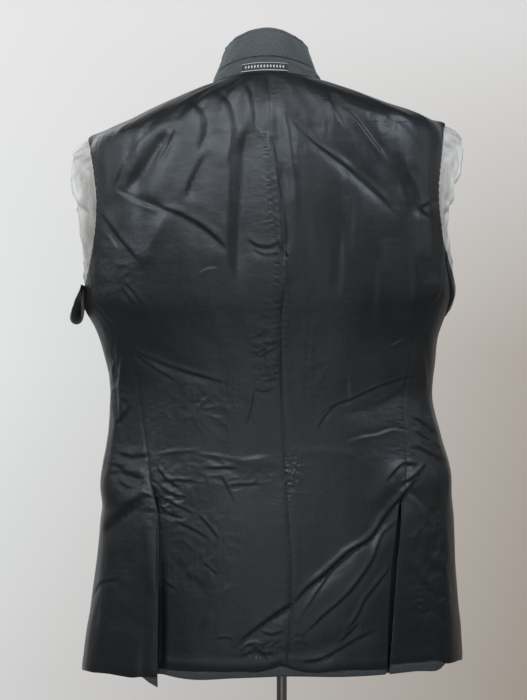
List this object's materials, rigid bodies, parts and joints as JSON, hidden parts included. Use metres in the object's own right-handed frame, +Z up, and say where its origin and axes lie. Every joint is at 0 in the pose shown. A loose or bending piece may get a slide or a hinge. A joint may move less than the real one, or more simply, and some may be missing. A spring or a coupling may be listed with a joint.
{
  "type": "blazer on a dress form",
  "caption": "Blazer turned inside out, its dark lining outwards and collar raised, worn on a limbless dress form with a pole and a round foot.",
  "frame": {"origin": "centre of the round foot's underside, on the pole's axis", "axes": "+Z up the pole, -Y towards the jacket's centre back, +X to the wearer's right"},
  "size_m": [0.496, 0.33, 1.5266],
  "materials": {
    "dark_satin": "charcoal satin lining, creased",
    "grey_wool": "blue-grey wool suiting, matt",
    "striped_lining": "off-white sleeve lining with fine pale grey stripes",
    "label_weave": "bare black woven label",
    "form_jersey": "knitted cover, ecru",
    "foot_steel": "satin steel",
    "beech": "oiled beech",
    "horn": "dark horn-like buttons"
  },
  "bodies": {
    "root": {"base_plate": "foot_steel", "base_socket": "foot_steel", "button_lower": "horn", "button_upper": "horn", "collar_fall": "grey_wool", "collar_stand": "grey_wool", "facing_left": "grey_wool", "facing_right": "grey_wool", "form_body": "form_jersey", "form_flange": "foot_steel", "lining_back_left": "dark_satin", "lining_back_right": "dark_satin", "lining_front_left": "dark_satin", "lining_front_right": "dark_satin", "lining_side_left": "dark_satin", "lining_side_right": "dark_satin", "neck_cap": "beech", "neck_label": "label_weave", "pole": "foot_steel", "shell_back_left": "grey_wool", "shell_back_right": "grey_wool", "shell_front_left": "grey_wool", "shell_front_right": "grey_wool", "shell_side_left": "grey_wool", "shell_side_right": "grey_wool", "shield_left": "dark_satin", "shield_right": "dark_satin", "sleeve_left": "grey_wool", "sleeve_lining_left": "striped_lining", "sleeve_lining_right": "striped_lining", "sleeve_right": "grey_wool"}
  },
  "joints": []
}
